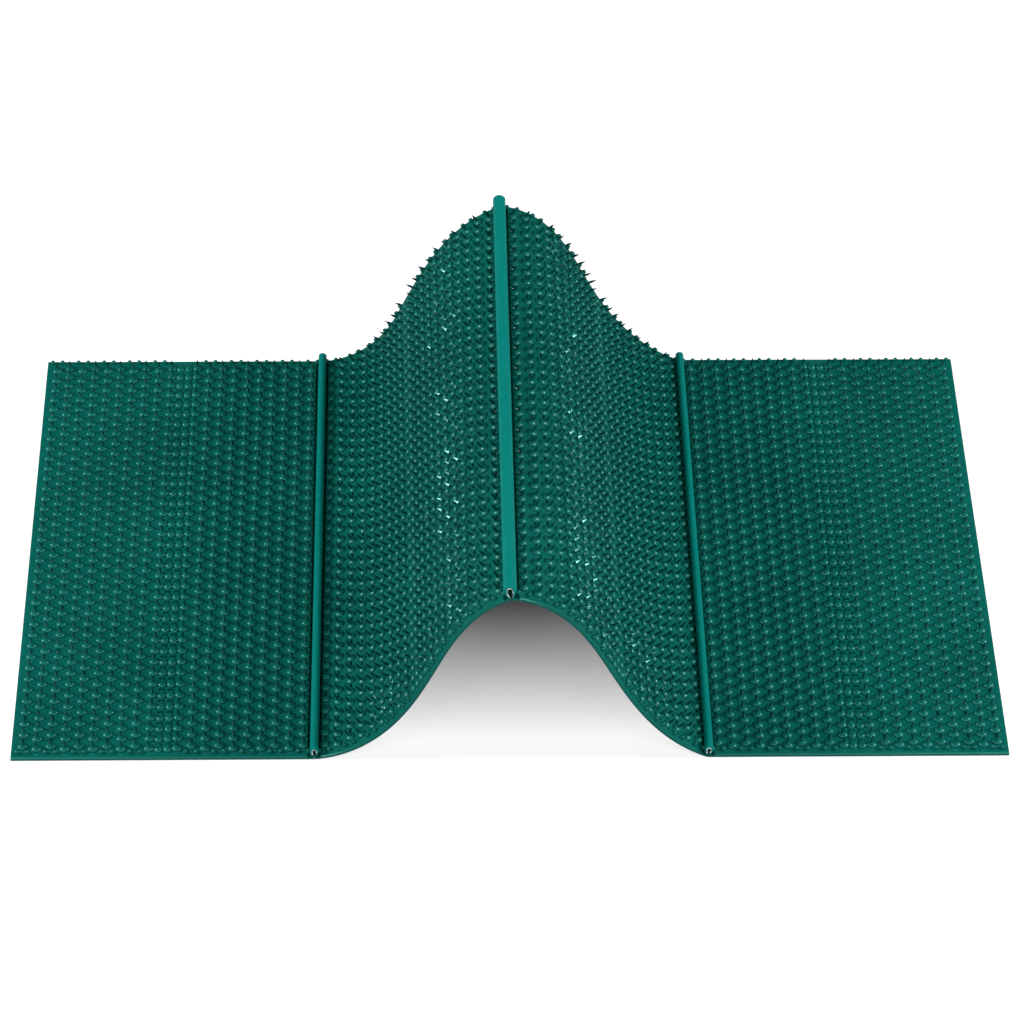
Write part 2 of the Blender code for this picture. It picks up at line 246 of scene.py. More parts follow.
FIRST_COLUMN = 0.0082
COLUMN_PITCH = 0.01044
COLUMNS_PER_HALF = 10
ROW_PITCH = 0.01205
LONG_COUNT = 38
HALF_COLUMNS = [FIRST_COLUMN + COLUMN_PITCH * k for k in range(COLUMNS_PER_HALF)]
COLUMNS = [(along, k % 2 == 1) for k, along in enumerate(HALF_COLUMNS)]
COLUMNS += [(PANEL_LENGTH - along, long) for along, long in reversed(COLUMNS)]
GAPS = [along + 0.5 * COLUMN_PITCH for along in HALF_COLUMNS[:-1]]
GAPS += [PANEL_LENGTH - along for along in reversed(GAPS)]
EVEN_ROWS = [ROW_PITCH * (j - 0.5 * (LONG_COUNT - 1)) for j in range(LONG_COUNT)]
SHORT_ROWS = [y + 0.5 * ROW_PITCH for y in EVEN_ROWS[:-1]]
ROWS_MOVED_IN = (0.0034, 0.0018, 0.0004)
LONG_ROWS = list(EVEN_ROWS)
for j, shift in enumerate(ROWS_MOVED_IN):
    LONG_ROWS[j] += shift
    LONG_ROWS[-1 - j] -= shift

SLOT_AHEAD = 0.0055
SLOT_HALF_LENGTH = 0.0020
SLOT_HALF_WIDTH = 0.0011
FINE_SLOT_HALF_WIDTH = 0.0007
JOINT_GROOVE = (0.0006, 0.0009, 0.0046, 0.0052)
GROOVE_DEPTH = 0.0021
PIT_FLOOR = 0.0003
CUT_STEP = 0.0042
SHEET_SHARP = math.radians(30.0)

RIB_ASIDE = 0.0034
RIB_AHEAD = 0.0004
RIB_PIT_HALF_WIDTH = 0.0026
RIB_PIT_FRONT = 0.0076
RIB_PIT_BACK = 0.0054


def slotted(j, long):
    """Every second dome has a drain slot in front, but not the first of a long column."""
    return j % 2 == 1 and (j > 1 or not long)


def drain_slots(start, end):
    """Edges of the slots in one stretch, along and across."""
    found = []
    for along, long in COLUMNS:
        if start < along < end:
            half = FINE_SLOT_HALF_WIDTH if long else SLOT_HALF_WIDTH
            for j, y in enumerate(LONG_ROWS if long else SHORT_ROWS):
                if slotted(j, long):
                    middle = y - SLOT_AHEAD
                    front, back = middle - SLOT_HALF_LENGTH, middle + SLOT_HALF_LENGTH
                    found.append((along - half, along + half, front, back))
    middle = 0.5 * PANEL_LENGTH
    if start < middle < end:
        for aside in (-RIB_ASIDE, RIB_ASIDE):
            left = middle + aside - RIB_PIT_HALF_WIDTH
            right = middle + aside + RIB_PIT_HALF_WIDTH
            for y in LONG_ROWS[1:]:
                found.append((left, right, y - RIB_PIT_FRONT, y - RIB_PIT_BACK))
    return found


def spread(lines, low, high, step):
    """Sorted cut lines between two ends, with wide gaps divided evenly."""
    lines = sorted({low, high, *(line for line in lines if low < line < high)})
    fine = []
    for near, far in zip(lines, lines[1:]):
        parts = math.ceil((far - near) / step)
        fine += [near + (far - near) * k / parts for k in range(parts)]
    return fine + [high]


def flat_sheet(name, start, end, open_slots):
    """Flat stretch of the sheet, in distances along and across; its slots open or blind."""
    edges = [along for along in (0.0, PANEL_LENGTH) if along in (start, end)]
    lines = [along + (EDGE_ROUND if along == start else -EDGE_ROUND) for along in edges]
    slots = drain_slots(start, end)
    lines += [edge for slot in slots for edge in slot[:2]]
    grooves = []
    if start == FREE_HALF_GAP:
        grooves.append(JOINT_GROOVE)
    if end == PANEL_LENGTH - FREE_HALF_GAP:
        grooves.append(tuple(PANEL_LENGTH - along for along in reversed(JOINT_GROOVE)))
    for groove in grooves:
        lines += groove
    xs = spread(lines, start, end, CUT_STEP)
    half = 0.5 * MAT_WIDTH
    ys = [EDGE_ROUND - half, half - EDGE_ROUND, *(y for slot in slots for y in slot[2:])]
    ys = spread(ys, -half, half, 4.0 * CUT_STEP)

    def in_slot(x, y):
        return any(a < x < b and c < y < d for a, b, c, d in slots)

    def top_height(x, y):
        if abs(y) == half or x in edges:
            return -EDGE_ROUND
        low = any(groove[1] <= x <= groove[2] for groove in grooves)
        return -GROOVE_DEPTH if low else 0.0

    open_cells = {
        (i, j)
        for i in range(len(xs) - 1)
        for j in range(len(ys) - 1)
        if in_slot(0.5 * (xs[i] + xs[i + 1]), 0.5 * (ys[j] + ys[j + 1]))
    }

    def pierced(i, j):
        outside = not (0 <= i < len(xs) - 1 and 0 <= j < len(ys) - 1)
        return outside or (i, j) in open_cells

    rows = len(ys)
    points = [(x, y, -SHEET) for x in xs for y in ys]
    points += [(x, y, top_height(x, y)) for x in xs for y in ys]
    points += [(x, y, PIT_FLOOR - SHEET) for x in xs for y in ys]
    layer = len(xs) * rows
    pit = 2 * layer
    faces = []
    for i in range(len(xs) - 1):
        for j in range(rows - 1):
            a, b = i * rows + j, (i + 1) * rows + j
            if pierced(i, j):
                if not open_slots:
                    faces.append((a, a + 1, b + 1, b))
                    faces.append((a + pit, b + pit, b + 1 + pit, a + 1 + pit))
                continue
            faces.append((a, a + 1, b + 1, b))
            faces.append((a + layer, b + layer, b + 1 + layer, a + 1 + layer))
            for lost, near, far in (
                ((i, j - 1), a, b),
                ((i + 1, j), b, b + 1),
                ((i, j + 1), b + 1, a + 1),
                ((i - 1, j), a + 1, a),
            ):
                if pierced(*lost):
                    foot = pit if lost in open_cells and not open_slots else 0
                    faces.append((near + foot, far + foot, far + layer, near + layer))
    mesh = bpy.data.meshes.new(name)
    mesh.from_pydata(points, [], faces)
    bm = bmesh.new()
    bm.from_mesh(mesh)
    bmesh.ops.delete(bm, geom=[v for v in bm.verts if not v.link_faces], context="VERTS")
    bm.to_mesh(mesh)
    bm.free()
    mesh.shade_smooth()
    mesh.set_sharp_from_angle(angle=SHEET_SHARP)
    return mesh


def marks(name, places):
    """Loose points that a tree sets its domes, ribs or studs on."""
    mesh = bpy.data.meshes.new(name)
    mesh.from_pydata(places, [], [])
    return link(bpy.data.objects.new(name, mesh))


def add_node(tree, kind, **inputs):
    node = tree.nodes.new(kind)
    for name, value in inputs.items():
        socket = node.inputs[name.replace("_", " ")]
        if isinstance(value, bpy.types.NodeSocket):
            tree.links.new(value, socket)
        else:
            socket.default_value = value
    return node


def math_node(tree, operation, a, b):
    node = tree.nodes.new("ShaderNodeMath")
    node.operation = operation
    for socket, value in zip(node.inputs, (a, b)):
        if isinstance(value, bpy.types.NodeSocket):
            tree.links.new(value, socket)
        else:
            socket.default_value = value
    return node.outputs[0]


def vector_node(tree, operation, a, b=None, scale=None):
    node = tree.nodes.new("ShaderNodeVectorMath")
    node.operation = operation
    tree.links.new(a, node.inputs[0])
    if isinstance(b, bpy.types.NodeSocket):
        tree.links.new(b, node.inputs[1])
    elif b is not None:
        node.inputs[1].default_value = b
    if scale is not None:
        tree.links.new(scale, node.inputs["Scale"])
    return node.outputs[0]


def between(tree, share, one, other):
    """A vector part of the way from one to the other."""
    step = vector_node(tree, "SUBTRACT", other, one)
    return vector_node(tree, "ADD", one, vector_node(tree, "SCALE", step, scale=share))


FOOT_DEPTH = 0.0004


def sunk(tree, geometry):
    """Flattens what lies below the sheet's top, so that a round foot ends inside it."""
    spot = add_node(tree, "GeometryNodeInputPosition").outputs[0]
    parts = add_node(tree, "ShaderNodeSeparateXYZ", Vector=spot)
    lifted = math_node(tree, "MAXIMUM", parts.outputs["Z"], -FOOT_DEPTH)
    place = add_node(
        tree, "ShaderNodeCombineXYZ", X=parts.outputs["X"], Y=parts.outputs["Y"], Z=lifted
    ).outputs[0]
    return add_node(tree, "GeometryNodeSetPosition", Geometry=geometry, Position=place).outputs[0]


def sized(tree, geometry, x, y, z):
    scale = add_node(tree, "ShaderNodeCombineXYZ", X=x, Y=y, Z=z).outputs[0]
    return add_node(tree, "GeometryNodeTransform", Geometry=geometry, Scale=scale).outputs[0]


def ball_mesh(tree, segments, rings):
    return add_node(
        tree, "GeometryNodeMeshUVSphere", Segments=segments, Rings=rings
    ).outputs["Mesh"]


def smoothed(tree, shape):
    return add_node(tree, "GeometryNodeSetShadeSmooth", Geometry=shape).outputs[0]


def on_marks(tree, marked, shape, **more):
    points = add_node(tree, "GeometryNodeObjectInfo", Object=marked).outputs["Geometry"]
    return add_node(
        tree, "GeometryNodeInstanceOnPoints", Points=points, Instance=shape, **more
    ).outputs[0]


MOULDING_SIZES = {
    "Dome segments": ("Int", 12),
    "Dome rings": ("Int", 8),
    "Dome radius": ("Float", 0.0043),
    "Dome height": ("Float", 0.0025),
    "Needle sides": ("Int", 4),
    "Needle radius": ("Float", 0.0012),
    "Shaft height": ("Float", 0.0058),
    "Tip radius": ("Float", 0.0001),
    "Point height": ("Float", 0.0036),
    "Needle tilt": ("Float", math.radians(3.0)),
    "Rib half length": ("Float", 0.0038),
    "Rib half width": ("Float", 0.0047),
    "Rib height": ("Float", 0.0026),
    "Stud segments": ("Int", 8),
    "Stud rings": ("Int", 6),
    "Stud half length": ("Float", 0.0022),
    "Stud half width": ("Float", 0.0020),
    "Stud height": ("Float", 0.0034),
    "Seed": ("Int", 7),
}


def moulding_tree():
    """Sets domes, needles, ribs and studs on a flat sheet and bends it all along two lines."""
    tree = bpy.data.node_groups.new("panel_moulding", "GeometryNodeTree")
    tree.interface.new_socket(name="Geometry", in_out="INPUT", socket_type="NodeSocketGeometry")
    tree.interface.new_socket(name="Geometry", in_out="OUTPUT", socket_type="NodeSocketGeometry")
    for name in ("Dome marks", "Rib marks", "Stud marks", "Front line", "Rear line"):
        tree.interface.new_socket(name=name, in_out="INPUT", socket_type="NodeSocketObject")
    tree.interface.new_socket(name="Plastic", in_out="INPUT", socket_type="NodeSocketMaterial")
    for name, (kind, value) in MOULDING_SIZES.items():
        socket = tree.interface.new_socket(
            name=name, in_out="INPUT", socket_type="NodeSocket" + kind
        )
        socket.default_value = value
    given = tree.nodes.new("NodeGroupInput").outputs

    ball = ball_mesh(tree, given["Dome segments"], given["Dome rings"])
    dome = sized(tree, ball, given["Dome radius"], given["Dome radius"], given["Dome height"])
    domes = on_marks(tree, given["Dome marks"], smoothed(tree, sunk(tree, dome)))

    needle = tree.nodes.new("GeometryNodeJoinGeometry")
    for top, rise, foot in (
        ("Needle radius", "Shaft height", None),
        ("Tip radius", "Point height", "Shaft height"),
    ):
        cone = add_node(
            tree,
            "GeometryNodeMeshCone",
            Vertices=given["Needle sides"],
            Radius_Top=given[top],
            Radius_Bottom=given["Needle radius"],
            Depth=given[rise],
        ).outputs["Mesh"]
        if foot:
            lift = add_node(tree, "ShaderNodeCombineXYZ", Z=given[foot]).outputs[0]
            cone = add_node(
                tree, "GeometryNodeTransform", Geometry=cone, Translation=lift
            ).outputs[0]
        tree.links.new(cone, needle.inputs[0])
    lean = tree.nodes.new("FunctionNodeRandomValue")
    lean.data_type = "FLOAT_VECTOR"
    tree.links.new(given["Seed"], lean.inputs["Seed"])
    least = math_node(tree, "MULTIPLY", given["Needle tilt"], -1.0)
    tree.links.new(least, lean.inputs[0])
    tree.links.new(given["Needle tilt"], lean.inputs[1])
    needles = on_marks(
        tree, given["Dome marks"], needle.outputs[0], Rotation=lean.outputs[0]
    )

    rib = sized(
        tree, ball, given["Rib half length"], given["Rib half width"], given["Rib height"]
    )
    ribs = on_marks(tree, given["Rib marks"], smoothed(tree, sunk(tree, rib)))
    small = ball_mesh(tree, given["Stud segments"], given["Stud rings"])
    stud = sized(
        tree, small, given["Stud half length"], given["Stud half width"], given["Stud height"]
    )
    studs = on_marks(tree, given["Stud marks"], smoothed(tree, sunk(tree, stud)))

    joined = tree.nodes.new("GeometryNodeJoinGeometry")
    for part in (given["Geometry"], domes, needles, ribs, studs):
        tree.links.new(part, joined.inputs[0])
    solid = add_node(tree, "GeometryNodeRealizeInstances", Geometry=joined.outputs[0]).outputs[0]

    flat = add_node(tree, "GeometryNodeInputPosition").outputs[0]
    parts = add_node(tree, "ShaderNodeSeparateXYZ", Vector=flat)
    stored = add_node(
        tree,
        "GeometryNodeStoreNamedAttribute",
        Geometry=solid,
        Name="height",
        Value=parts.outputs["Z"],
    ).outputs[0]
    places, forwards = [], []
    for name in ("Front line", "Rear line"):
        line = add_node(tree, "GeometryNodeObjectInfo", Object=given[name])
        sample = tree.nodes.new("GeometryNodeSampleCurve")
        sample.mode = "LENGTH"
        tree.links.new(line.outputs["Geometry"], sample.inputs["Curves"])
        tree.links.new(parts.outputs["X"], sample.inputs["Length"])
        places.append(sample.outputs["Position"])
        forwards.append(sample.outputs["Tangent"])
    rear_share = math_node(tree, "MULTIPLY", parts.outputs["Y"], 1.0 / MAT_WIDTH)
    rear_share = math_node(tree, "ADD", rear_share, 0.5)
    forward = vector_node(tree, "NORMALIZE", between(tree, rear_share, *forwards))
    up = vector_node(tree, "CROSS_PRODUCT", forward, (0.0, 1.0, 0.0))
    height = math_node(tree, "ADD", parts.outputs["Z"], SHEET)
    raised = vector_node(tree, "SCALE", up, scale=height)
    across = add_node(tree, "ShaderNodeCombineXYZ", Y=parts.outputs["Y"]).outputs[0]
    place = vector_node(tree, "ADD", between(tree, rear_share, *places), raised)
    place = vector_node(tree, "ADD", place, across)
    bent = add_node(tree, "GeometryNodeSetPosition", Geometry=stored, Position=place).outputs[0]
    done = add_node(
        tree, "GeometryNodeSetMaterial", Geometry=bent, Material=given["Plastic"]
    ).outputs[0]
    out = tree.nodes.new("NodeGroupOutput")
    tree.links.new(done, out.inputs[0])
    return tree


MOULDING = moulding_tree()
MOULDING_INPUTS = {
    item.name: item.identifier
    for item in MOULDING.interface.items_tree
    if item.item_type == "SOCKET" and item.in_out == "INPUT"
}

PANEL_GREENS = ((0.0006, 0.106, 0.085), (0.0014, 0.130, 0.105))
# Painted shade on the needles: the darker green they turn to above the dome tops.
NEEDLE_SHADE_GREEN = (0.0005, 0.05, 0.042)
PANEL_GLINT = (0.4, 1.0, 0.94, 1.0)
PANEL_ROUGHNESS = (0.27, 0.38)
NEEDLE_ROUGHNESS = 0.12
NEEDLE_BARE = (0.0024, 0.0050)
PLASTIC_IOR = 1.5
GRAIN_DEPTH = 0.0002


def new_plastic(name):
    """A material with its tree and its shader."""
    material = bpy.data.materials.new(name)
    material.use_nodes = True
    tree = material.node_tree
    return material, tree, tree.nodes["Principled BSDF"]


def grained(tree, shader, pattern, strength):
    """Fine relief that follows a pattern."""
    bump = add_node(tree, "ShaderNodeBump", Strength=strength, Distance=GRAIN_DEPTH)
    tree.links.new(pattern, bump.inputs["Height"])
    tree.links.new(bump.outputs[0], shader.inputs["Normal"])


def panel_plastic():
    """Moulded green polyethylene: cloudy pigment, glossier needles with painted shade that
    darkens them above the domes, a fine grain.
    """
    material, tree, shader = new_plastic("panel_plastic")
    shader.inputs["IOR"].default_value = PLASTIC_IOR
    shader.inputs["Specular IOR Level"].default_value = 0.5
    shader.inputs["Specular Tint"].default_value = PANEL_GLINT

    def coloured(factor, low, high):
        """Mixes two colours, each a plain value or a socket."""
        node = tree.nodes.new("ShaderNodeMix")
        node.data_type = "RGBA"
        tree.links.new(factor, node.inputs["Factor"])
        for number, value in ((6, low), (7, high)):
            socket = node.inputs[number]
            if isinstance(value, bpy.types.NodeSocket):
                tree.links.new(value, socket)
            else:
                socket.default_value = (*value, 1.0)
        return node.outputs[2]

    place = add_node(tree, "ShaderNodeTexCoord").outputs["Object"]
    height = tree.nodes.new("ShaderNodeAttribute")
    height.attribute_name = "height"
    cloud = add_node(tree, "ShaderNodeTexNoise", Vector=place, Scale=9.0, Detail=4.0)
    pigment = coloured(ranged(tree, cloud.outputs[0], 0.35, 0.68, 0.0, 1.0), *PANEL_GREENS)
    needle = ranged(tree, height.outputs["Fac"], *NEEDLE_BARE, 0.0, 1.0)
    # Painted shade: the needles turn darker green from the dome tops upwards.
    needle_shade = ranged(tree, height.outputs["Fac"], *NEEDLE_BARE, 0.0, 0.9)
    tree.links.new(coloured(needle_shade, pigment, NEEDLE_SHADE_GREEN), shader.inputs["Base Color"])

    smear = add_node(tree, "ShaderNodeTexNoise", Vector=place, Scale=60.0, Detail=3.0)
    gloss = ranged(tree, smear.outputs[0], 0.3, 0.7, *PANEL_ROUGHNESS)
    rough = tree.nodes.new("ShaderNodeMix")
    tree.links.new(needle, rough.inputs[0])
    tree.links.new(gloss, rough.inputs[2])
    rough.inputs[3].default_value = NEEDLE_ROUGHNESS
    tree.links.new(rough.outputs[0], shader.inputs["Roughness"])

    grain = add_node(tree, "ShaderNodeTexNoise", Vector=place, Scale=1400.0, Detail=2.0)
    grained(tree, shader, grain.outputs[0], 0.06)
    return material


PANEL_PLASTIC = panel_plastic()


def finished(name, mesh):
    """Plain object at the origin, its faces turned outwards."""
    bm = bmesh.new()
    bm.from_mesh(mesh)
    bmesh.ops.recalc_face_normals(bm, faces=bm.faces)
    bm.to_mesh(mesh)
    bm.free()
    return link(bpy.data.objects.new(name, mesh))


STUD_ASIDE = 0.0039
FRONT_STUD_Y = -0.5 * MAT_WIDTH + 0.0052
REAR_STUD_Y = 0.5 * MAT_WIDTH - 0.0029


def edge_studs(start, end):
    """A small stud on both sides of each short column's two ends."""
    return [
        (along + aside, y, 0.0)
        for along, long in COLUMNS
        for aside in (-STUD_ASIDE, STUD_ASIDE)
        for y in (FRONT_STUD_Y, REAR_STUD_Y)
        if not long and start < along < end
    ]


def moulded_piece(name, lines, start, end, open_slots):
    """One stretch of a panel, from one distance along its line to another."""
    domes = []
    for along, long in COLUMNS:
        if start < along < end:
            domes += [(along, y, 0.0) for y in (LONG_ROWS if long else SHORT_ROWS)]
    middle = 0.5 * PANEL_LENGTH
    ribs = [
        (middle + aside, y - RIB_AHEAD, 0.0)
        for y in LONG_ROWS
        for aside in (-RIB_ASIDE, RIB_ASIDE)
    ]
    flat = flat_sheet(name + "_flat", start, end, open_slots)
    sheet = link(bpy.data.objects.new(name + "_flat", flat))
    helpers = [
        marks(name + "_dome_marks", domes),
        marks(name + "_rib_marks", ribs if start < middle < end else []),
        marks(name + "_stud_marks", edge_studs(start, end)),
    ]
    modifier = sheet.modifiers.new("moulding", "NODES")
    modifier.node_group = MOULDING
    for marked, helper in zip(("Dome", "Rib", "Stud"), helpers):
        modifier[MOULDING_INPUTS[marked + " marks"]] = helper
    for edge, line in zip(("Front", "Rear"), lines):
        modifier[MOULDING_INPUTS[edge + " line"]] = line
    modifier[MOULDING_INPUTS["Plastic"]] = PANEL_PLASTIC
    seen = sheet.evaluated_get(bpy.context.evaluated_depsgraph_get())
    piece = finished(name, bpy.data.meshes.new_from_object(seen))
    for helper in (sheet, *helpers):
        bpy.data.objects.remove(helper)
    return piece


def drawn_line(name, points):
    curve = bpy.data.curves.new(name, "CURVE")
    curve.dimensions = "3D"
    spline = curve.splines.new("POLY")
    spline.points.add(len(points) - 1)
    for point, place in zip(spline.points, points):
        point.co = (*place, 1.0)
    return link(bpy.data.objects.new(name, curve))


NODES_OF = frame["record"]["behaviour"]["bodies"]
OPEN_SLOT_HEIGHT = 0.02


def nearest_gap(along):
    """The middle between two columns that lies nearest to a distance along the panel."""
    return min(GAPS, key=lambda gap: abs(gap - along))


class Panel:
    """A panel laid along its line, with the hinges of the bodies that it crosses."""

    def __init__(self, name, points, bodies, rear_points=None):
        self.name = name
        self.points = points
        self.bodies = bodies
        self.lines = [
            drawn_line(name + "_front_line", points),
            drawn_line(name + "_rear_line", rear_points or points),
        ]
        self.hinges = [self.along(self.hinge_place(a, b)) for a, b in zip(bodies, bodies[1:])]

    def hinge_place(self, one, other):
        for joint in frame["joints"]:
            if {joint["parent"], joint["child"]} == {one, other}:
                return Vector(joint["pos_m"])
        raise ValueError(f"no joint between {one} and {other}")

    def along(self, place):
        """Distance along the line of the point nearest to a place in the sheet."""
        best = min(range(len(self.points)), key=lambda k: (self.middle(k) - place).length)
        return PANEL_LENGTH * best / (len(self.points) - 1)

    def middle(self, k):
        """Point in the middle of the sheet over one point of the line."""
        before, after = max(k - 1, 0), min(k + 1, len(self.points) - 1)
        forward = (self.points[after] - self.points[before]).normalized()
        return self.points[k] + 0.5 * SHEET * forward.cross(Vector((0.0, 1.0, 0.0)))

    def at(self, along):
        return self.middle(round(along / PANEL_LENGTH * (len(self.points) - 1)))

    def bend(self, piece):
        """Bakes the piece's place into its mesh."""
        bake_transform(piece)

    def mould(self, body, start, end):
        """A stretch that stays flat and stands for all the nodes of one body."""
        piece = moulded_piece(self.name + "_field", self.lines, start, end, False)
        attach(piece, body)
        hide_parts(*NODES_OF[body])

    def mould_bends(self, start, end):
        """The stretches over the hinges, one over each, which meet between two columns."""
        cuts = [start]
        for near, far in zip(self.hinges, self.hinges[1:]):
            cuts.append(nearest_gap(0.5 * (near + far)))
        cuts.append(end)
        for number, (low, high) in enumerate(zip(cuts, cuts[1:])):
            raised = self.at(0.5 * (low + high)).z > OPEN_SLOT_HEIGHT
            name = f"{self.name}_bend_{number + 1}"
            piece = moulded_piece(name, self.lines, low, high, raised)
            self.bend(piece)
            body = self.bodies[number + 1]
            if not body.endswith("_joint"):
                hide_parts(*NODES_OF[body])


# The left end panel lies flat on the floor, its right edge in the left joint profile.
# Its stretch over the columns of domes beside the joint, where the hinges lie, is moulded in
# pieces of its own.

LINE_STEPS = 900
LEFT_JOINT_X = -0.145927
END_BEND_ROOM = 0.021


def straight(start_x):
    """Points of a flat panel's underside, in the direction of x."""
    step = PANEL_LENGTH / LINE_STEPS
    return [Vector((start_x + step * k, 0.0, 0.0)) for k in range(LINE_STEPS + 1)]


left_end = Panel(
    "left_end_panel",
    straight(LEFT_JOINT_X - PANEL_LENGTH),
    ["left_end", "left_end_strip", "left_joint"],
)
field_end = nearest_gap(left_end.hinges[0] - END_BEND_ROOM)
left_end.mould("left_end", 0.0, field_end)
left_end.mould_bends(field_end, PANEL_LENGTH - FREE_HALF_GAP)

# The left joint profile: a split tube of extruded teal plastic, slid over the beads of
# the two panels that meet here. Its cut ends are pinched and their rims are whitened.

WEB = 0.00095
BEAD = 0.0014
BEAD_CHAMFER = 0.00045
BEAD_SETBACK = 0.006
WEB_ROOT = 0.0006
BEAD_FOOT = 0.0059
BEAD_TOP = 0.0083
SLOT = 0.0014
LIP = 0.00115
LIP_HEIGHT = 0.0009
LIP_FLARE = 0.0009
FLANK_SHARES = (0.0, 0.25, 0.55)
NECK_SHARE = 0.55
TOP_PINCH = 0.0004
ROUND_STEPS = 20
PROFILE_SHARP = math.radians(38.0)
SIDE_TUBE = {
    "inner": 0.0019,
    "outer": 0.00325,
    "centre": BEAD_TOP - 0.00065,
    "foot": 0.0038,
    "mouth": 0.0012,
}
END_SECTIONS = ((0.0, 0.00035, 1.0), (0.00035, 0.0, 1.0), (0.0035, 0.0, 1.0), (0.009, 0.0, 0.0))


class JointLine:
    """A joint's line across the mat, with the profile's own across and up axes."""

    def __init__(self, body, x, z, lean):
        self.body = body
        self.origin = Vector((x, 0.0, z))
        self.turn = Matrix.Rotation(math.radians(lean), 3, "Y")

    def point(self, across, up, y):
        return self.origin + self.turn @ Vector((across, 0.0, up)) + Vector((0.0, y, 0.0))

    def drawn(self, name, sections, material):
        """Closed skin over sections (y, outer path, inner path) along the joint's line."""
        bm = bmesh.new()
        rings = []
        for y, outer_path, inner_path in sections:
            outer = [bm.verts.new(self.point(*spot, y)) for spot in outer_path]
            inner = [bm.verts.new(self.point(*spot, y)) for spot in inner_path]
            rings.append((outer, inner))
        for (near_out, near_in), (far_out, far_in) in zip(rings, rings[1:]):
            near, far = near_out + near_in[::-1], far_out + far_in[::-1]
            for k in range(len(near)):
                after = (k + 1) % len(near)
                bm.faces.new((near[k], near[after], far[after], far[k]))
        for outer, inner in (rings[0], rings[-1]):
            for k in range(len(outer) - 1):
                bm.faces.new((outer[k], outer[k + 1], inner[k + 1], inner[k]))
        bmesh.ops.recalc_face_normals(bm, faces=bm.faces)
        mesh = bpy.data.meshes.new(name)
        bm.to_mesh(mesh)
        bm.free()
        mesh.shade_smooth()
        mesh.set_sharp_from_angle(angle=PROFILE_SHARP)
        mesh.materials.append(material)
        piece = link(bpy.data.objects.new(name, mesh))
        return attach(piece, self.body)

    def web(self, name, side, node):
        """The beaded web along one panel's edge, inside the profile."""
        face = FREE_HALF_GAP
        outside = [
            (face + WEB, WEB_ROOT),
            (face + WEB, BEAD_FOOT),
            (face + BEAD, BEAD_FOOT + BEAD_CHAMFER),
            (face + BEAD, BEAD_TOP - BEAD_CHAMFER),
            (face + BEAD - BEAD_CHAMFER, BEAD_TOP),
        ]
        outer = [(side * across, up) for across, up in outside]
        inner = [(side * face, up) for _, up in outside]
        reach = 0.5 * MAT_WIDTH - BEAD_SETBACK
        piece = self.drawn(name, [(-reach, outer, inner), (reach, outer, inner)], PANEL_PLASTIC)
        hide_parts(node)


def round_back(half, centre, top, foot_points):
    """Path from the right foot over the round back to the left foot."""
    arc = []
    for k in range(ROUND_STEPS + 1):
        angle = math.pi * k / ROUND_STEPS
        arc.append((half * math.cos(angle), centre + top * math.sin(angle)))
    return foot_points + arc + [(-across, up) for across, up in reversed(foot_points)]


def profile_paths(inner, outer, centre, foot, mouth, shrink, pinch):
    """Outer and inner path of the split tube; pinch is 1 at its cut end and 0 inside."""
    wide = outer - shrink
    bottom = SLOT + LIP - shrink
    flank = [
        (bottom + (wide - bottom) * share, foot + (centre - foot) * share)
        for share in FLANK_SHARES
    ]
    outer_path = round_back(wide, centre, wide, flank)
    narrow = inner + (mouth - inner) * pinch
    neck = SLOT + (NECK_SHARE * mouth - SLOT) * pinch
    inside = [
        (neck, foot),
        (neck, foot + LIP_HEIGHT),
        (narrow, foot + LIP_HEIGHT + LIP_FLARE),
    ]
    inner_path = round_back(narrow, centre, inner - TOP_PINCH * pinch, inside)
    return outer_path, inner_path


PROFILE_TEALS = ((0.3, (0.0006, 0.185, 0.158)), (0.7, (0.0012, 0.225, 0.195)))
PROFILE_GLINT = (0.15, 1.0, 0.95, 1.0)
PROFILE_ROUGHNESS = (0.34, 0.5)
CUT_TEALS = ((0.38, (0.02, 0.16, 0.13)), (0.56, (0.78, 0.88, 0.86)))
CUT_ROUGHNESS = 0.6


def two_toned(tree, shader, pattern, stops):
    """Base colour that follows a pattern from one (place, colour) stop to the other."""
    ramp = tree.nodes.new("ShaderNodeValToRGB")
    for element, (place, colour) in zip(ramp.color_ramp.elements, stops):
        element.position = place
        element.color = (*colour, 1.0)
    tree.links.new(pattern, ramp.inputs[0])
    tree.links.new(ramp.outputs[0], shader.inputs["Base Color"])


def profile_plastic():
    """Extruded teal plastic: fine streaks along the tube, faintly uneven in colour."""
    material, tree, shader = new_plastic("profile_plastic")
    shader.inputs["IOR"].default_value = PLASTIC_IOR
    shader.inputs["Specular IOR Level"].default_value = 0.4
    shader.inputs["Specular Tint"].default_value = PROFILE_GLINT
    place = add_node(tree, "ShaderNodeTexCoord").outputs["Object"]
    drawn = add_node(tree, "ShaderNodeMapping", Vector=place, Scale=(900.0, 5.0, 900.0))
    streak = add_node(tree, "ShaderNodeTexNoise", Vector=drawn.outputs[0], Scale=1.0, Detail=3.0)
    two_toned(tree, shader, streak.outputs[0], PROFILE_TEALS)
    smear = add_node(tree, "ShaderNodeTexNoise", Vector=place, Scale=35.0, Detail=3.0)
    gloss = ranged(tree, smear.outputs[0], 0.3, 0.7, *PROFILE_ROUGHNESS)
    tree.links.new(gloss, shader.inputs["Roughness"])
    grained(tree, shader, streak.outputs[0], 0.08)
    return material


